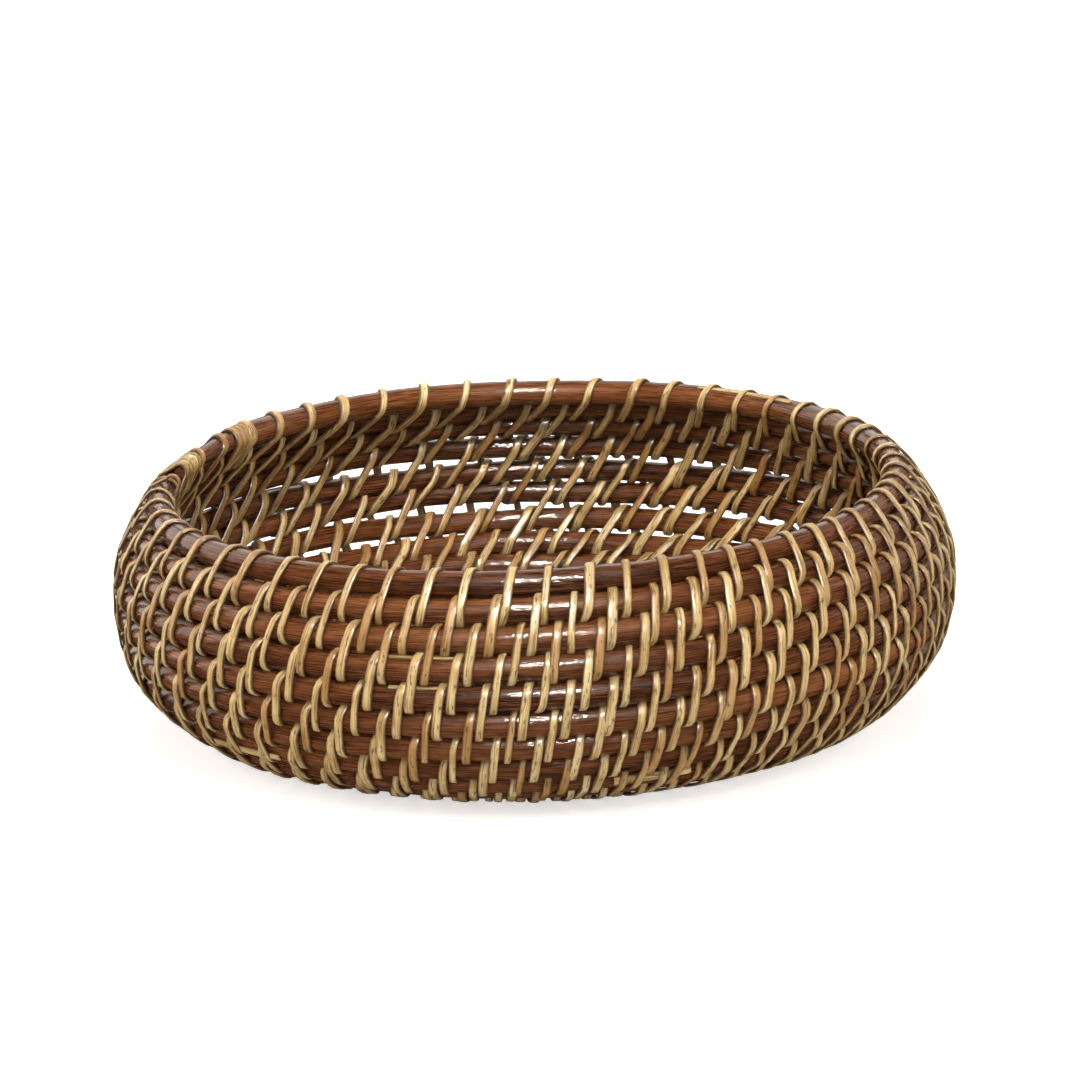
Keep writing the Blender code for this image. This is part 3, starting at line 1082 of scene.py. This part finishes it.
@dataclass(frozen=True)
class WhitePaper:
    """Finish of the floor."""

    albedo: float = 0.86  # How much light it gives back
    roughness: float = 0.9  # How matt it is
    glow: float = 0.30  # Light of its own, which fills the basket's underside
    glow_seen: float = 0.60  # The same as the camera sees it, so that it reads as a white page

    def material(self) -> bpy.types.Material:
        """Build the material.

        Returns:
            The material of matt white paper.
        """
        # Matt white paper: no gloss and no edge, so the eye sees only the basket's soft shadow
        paper = bpy.data.materials.new("matt_white_paper")
        paper.use_nodes = True
        graph = NodeGraph(paper.node_tree)
        shader = paper.node_tree.nodes["Principled BSDF"]
        shader.inputs["Base Color"].default_value = (self.albedo, self.albedo, self.albedo, 1.0)
        shader.inputs["Roughness"].default_value = self.roughness
        shader.inputs["Specular IOR Level"].default_value = 0.0
        shader.inputs["Emission Color"].default_value = WHITE
        seen = graph.add("ShaderNodeLightPath").outputs["Is Camera Ray"]
        wires = {"Value": seen, "To Min": self.glow, "To Max": self.glow_seen}
        glow = graph.add("ShaderNodeMapRange", wires)
        graph.tree.links.new(glow.outputs[0], shader.inputs["Emission Strength"])
        return paper


@dataclass
class Studio:
    """A pale floor, soft lights and the camera."""

    # The point that the camera looks at
    target: Vector = field(default_factory=lambda: Vector((0.0, 0.0, 0.050)))
    distance: float = 2.001  # From the camera to the target
    elevation: float = 15.27  # How far the camera looks down, in degrees
    roll: float = -2.0  # How far the camera leans, in degrees
    lens: float = 186.7  # Focal length, in millimetres
    sensor: float = 36.0  # Width of the sensor, in millimetres
    shift: Span = (0.0054, 0.0314)  # How far the picture is shifted, as shares of its width
    floor_size: float = 14.0  # Width of the floor
    light_colour: str = "#fff8ee"  # Colour of the lamps
    air: float = 0.22  # Strength of the light from all round
    air_mirrored: float = 0.15  # The share of it that lacquer mirrors
    # The lights
    lamps: tuple[Lamp, ...] = (
        Lamp("key_softbox", (0.06, -1.5, 1.45), 0.30, 3.8),
        Lamp("glint_softbox", (0.06, -1.5, 1.45), 0.5, 80.0, glossy=True, diffuse=False),
        Lamp("top_softbox", (0.0, 0.3, 2.0), 1.8, 12.0),
        Lamp("left_softbox", (-1.6, -0.5, 0.8), 1.4, 22.5),
        Lamp("left_sheen", (-1.4, 0.9, 0.7), 1.8, 17.0, glossy=True, diffuse=False),
        Lamp("right_softbox", (1.6, -0.5, 0.8), 1.4, 21.5),
        Lamp("right_sheen", (1.4, 0.9, 0.7), 1.8, 5.0, glossy=True, diffuse=False),
        Lamp("back_softbox", (0.0, 1.9, 1.2), 1.4, 10.0, glossy=True),
        Lamp("low_softbox", (0.0, -1.9, 0.35), 1.2, 8.0),
        Lamp("inside_spot", (0.0, -0.9, 1.45), 0.2, 0.9, aim=(0.0, 0.13, 0.06), spread=28.0),
    )

    def build(self) -> None:
        """Make the whole studio."""
        bpy.context.scene.view_settings.view_transform = "Standard"
        self._floor()
        self._world()
        for lamp in self.lamps:
            self._light(lamp)
        self._camera()

    def _floor(self) -> None:
        """Make the white floor, which takes the basket's shadow."""
        half = self.floor_size / 2
        corners = [(-half, -half, 0.0), (half, -half, 0.0), (half, half, 0.0), (-half, half, 0.0)]
        mesh = bpy.data.meshes.new("studio_floor")
        mesh.from_pydata(corners, [], [(0, 1, 2, 3)])
        mesh.materials.append(WhitePaper().material())
        floor = bpy.data.objects.new("studio_floor", mesh)
        floor.visible_glossy = False
        bpy.context.scene.collection.objects.link(floor)

    def _world(self) -> None:
        """Light the scene evenly from all round."""
        world = bpy.data.worlds.new("studio_air")
        world.use_nodes = True
        graph = NodeGraph(world.node_tree)
        back = world.node_tree.nodes["Background"]
        back.inputs["Color"].default_value = WHITE
        mirrored = graph.add("ShaderNodeLightPath").outputs["Is Glossy Ray"]
        wires = {"Value": mirrored, "To Min": self.air, "To Max": self.air * self.air_mirrored}
        strength = graph.add("ShaderNodeMapRange", wires)
        graph.tree.links.new(strength.outputs[0], back.inputs["Strength"])
        bpy.context.scene.world = world

    def _light(self, lamp: Lamp) -> None:
        """Hang one light.

        Args:
            lamp: what hangs where.
        """
        data = bpy.data.lights.new(lamp.name, "AREA")
        data.size = lamp.size
        data.energy = lamp.power
        data.spread = math.radians(lamp.spread)
        data.color = linear(self.light_colour)[:3]
        hung = bpy.data.objects.new(lamp.name, data)
        hung.location = lamp.place
        hung.visible_glossy = lamp.glossy
        hung.visible_diffuse = lamp.diffuse
        sight = Vector(lamp.aim) - Vector(lamp.place)
        hung.rotation_euler = sight.to_track_quat("-Z", "Y").to_euler()
        bpy.context.scene.collection.objects.link(hung)

    def _camera(self) -> None:
        """Set the camera where the photograph was taken from."""
        data = bpy.data.cameras.new("camera")
        data.lens = self.lens
        data.sensor_width = self.sensor
        data.shift_x, data.shift_y = self.shift
        camera = bpy.data.objects.new("camera", data)
        tilt = math.radians(self.elevation)
        back = Vector((0.0, -math.cos(tilt), math.sin(tilt)))
        turned = (-back).to_track_quat("-Z", "Y").to_matrix().to_4x4()
        lean = Matrix.Rotation(math.radians(self.roll), 4, "Z")
        camera.matrix_world = Matrix.Translation(self.target + back * self.distance) @ turned @ lean
        bpy.context.scene.collection.objects.link(camera)
        bpy.context.scene.camera = camera


def main() -> None:
    """Build the basket, then the studio."""
    logging.basicConfig(level=logging.INFO)
    coil = Coil(BELLY_DIAMETER)
    sweeps = SweepTree()
    split = PieceMaker(sweeps, Slot.SPLIT, SplitCane().material())
    stained = PieceMaker(sweeps, Slot.STAINED, StainedCane().material())
    strip = Section(
        half_width=STRIP_HALF_WIDTH,
        half_height=0.00095,
        flat=0.36,
        crown=0.80,
        sides=14,
        lump_depth=0.00025,
        lump_size=0.004,
    )
    hand = Hand(random.Random(SEED))
    winding = Winding(coil, strip, hand)
    foot_winding = Winding(coil, strip, hand, lean=FOOT_LEAN)
    wall, foot = range(coil.wall_turns), range(coil.wall_turns, coil.wall_turns + FOOT_COURSES)
    CaneCoil(coil, stained).build()
    CourseBinding(winding, split, wall, "split_wall_binder", "wall_binder").build()
    CourseBinding(foot_winding, split, foot, "foot_binding").build()
    BaseSpokes(coil, strip, split).build()
    RimLashing(winding, split).build()
    LooseEnds(coil, strip, split).build()
    Studio().build()


if __name__ == "__main__":
    main()
